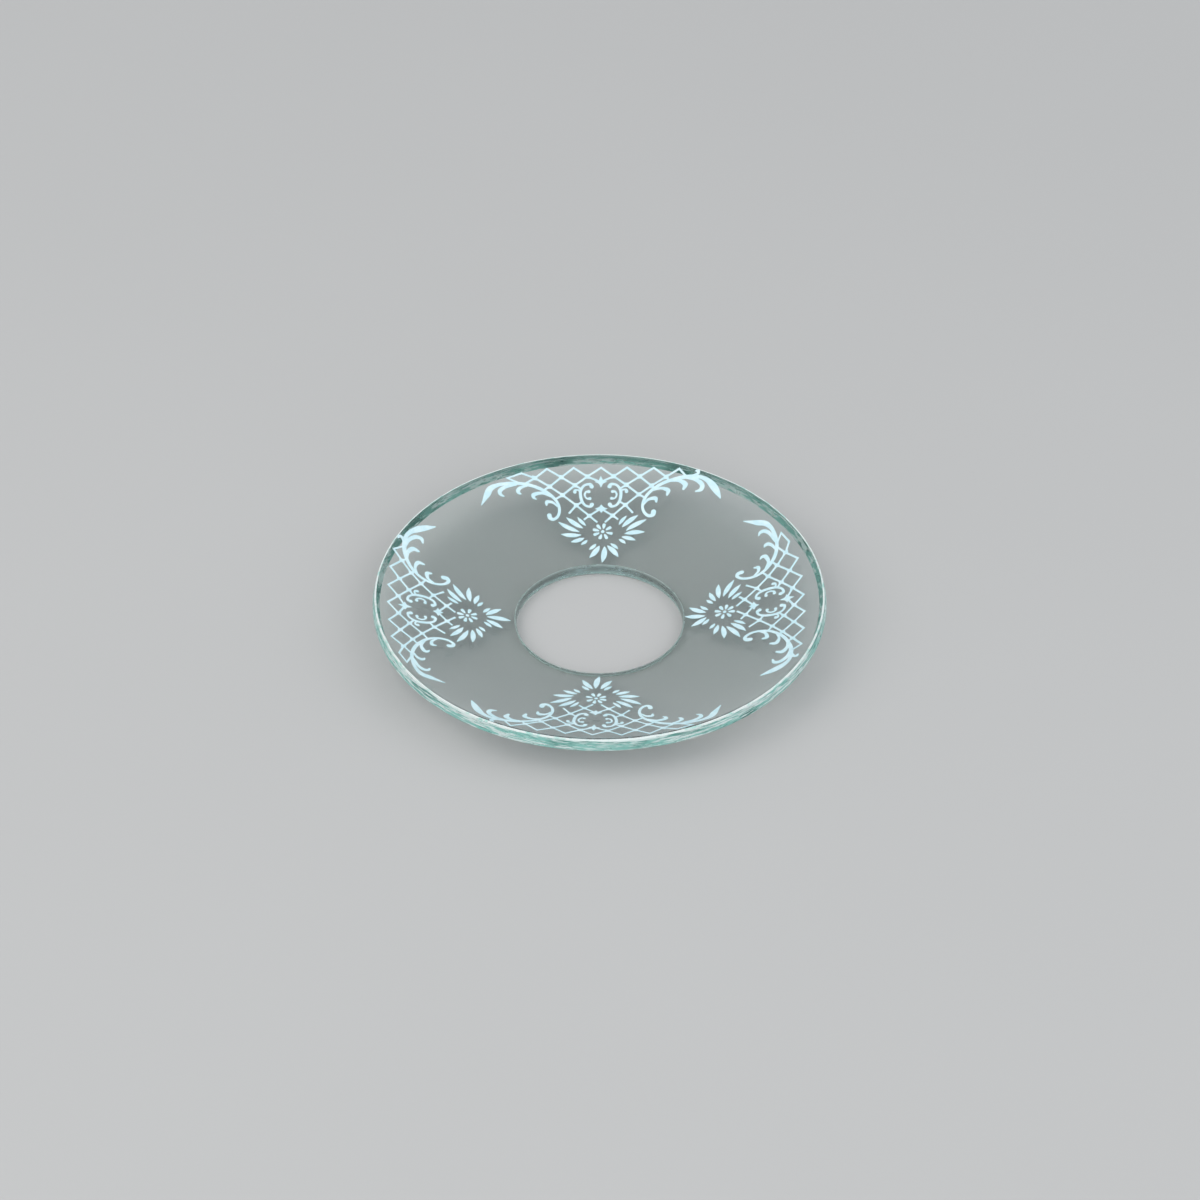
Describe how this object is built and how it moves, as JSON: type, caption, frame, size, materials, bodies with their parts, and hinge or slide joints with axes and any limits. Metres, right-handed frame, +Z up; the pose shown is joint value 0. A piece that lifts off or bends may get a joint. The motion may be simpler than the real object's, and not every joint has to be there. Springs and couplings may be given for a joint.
{
  "type": "bobeche",
  "caption": "Shallow dished glass drip ring for a candle, with a plain central hole and white enamel trellis and flower figures round its upper face.",
  "frame": {"origin": "on the disc's axis, in the plane of the flat ring under the hole that the bobeche rests on", "axes": "+Z up along the disc's axis; +X through the middle of the figure named right, +Y towards the one named back"},
  "size_m": [0.1142, 0.1142, 0.0114],
  "materials": {
    "glass": "clear polished glass, its ground edge green",
    "enamel": "thin fired white enamel, satin"
  },
  "bodies": {
    "root": {"daisy_back": "enamel", "daisy_front": "enamel", "daisy_left": "enamel", "daisy_right": "enamel", "glass_disc": "glass", "ray_back_clockwise_1": "enamel", "ray_back_clockwise_4": "enamel", "ray_back_clockwise_5": "enamel", "ray_back_clockwise_6": "enamel", "ray_back_clockwise_7": "enamel", "ray_back_counter_1": "enamel", "ray_back_counter_4": "enamel", "ray_back_counter_5": "enamel", "ray_back_counter_6": "enamel", "ray_back_counter_7": "enamel", "ray_back_hole": "enamel", "ray_front_clockwise_1": "enamel", "ray_front_clockwise_4": "enamel", "ray_front_clockwise_5": "enamel", "ray_front_clockwise_6": "enamel", "ray_front_clockwise_7": "enamel", "ray_front_counter_1": "enamel", "ray_front_counter_4": "enamel", "ray_front_counter_5": "enamel", "ray_front_counter_6": "enamel", "ray_front_counter_7": "enamel", "ray_front_hole": "enamel", "ray_left_clockwise_1": "enamel", "ray_left_clockwise_4": "enamel", "ray_left_clockwise_5": "enamel", "ray_left_clockwise_6": "enamel", "ray_left_clockwise_7": "enamel", "ray_left_counter_1": "enamel", "ray_left_counter_4": "enamel", "ray_left_counter_5": "enamel", "ray_left_counter_6": "enamel", "ray_left_counter_7": "enamel", "ray_left_hole": "enamel", "ray_right_clockwise_1": "enamel", "ray_right_clockwise_4": "enamel", "ray_right_clockwise_5": "enamel", "ray_right_clockwise_6": "enamel", "ray_right_clockwise_7": "enamel", "ray_right_counter_1": "enamel", "ray_right_counter_4": "enamel", "ray_right_counter_5": "enamel", "ray_right_counter_6": "enamel", "ray_right_counter_7": "enamel", "ray_right_hole": "enamel", "trellis_back": "enamel", "trellis_front": "enamel", "trellis_left": "enamel", "trellis_right": "enamel"}
  },
  "joints": []
}
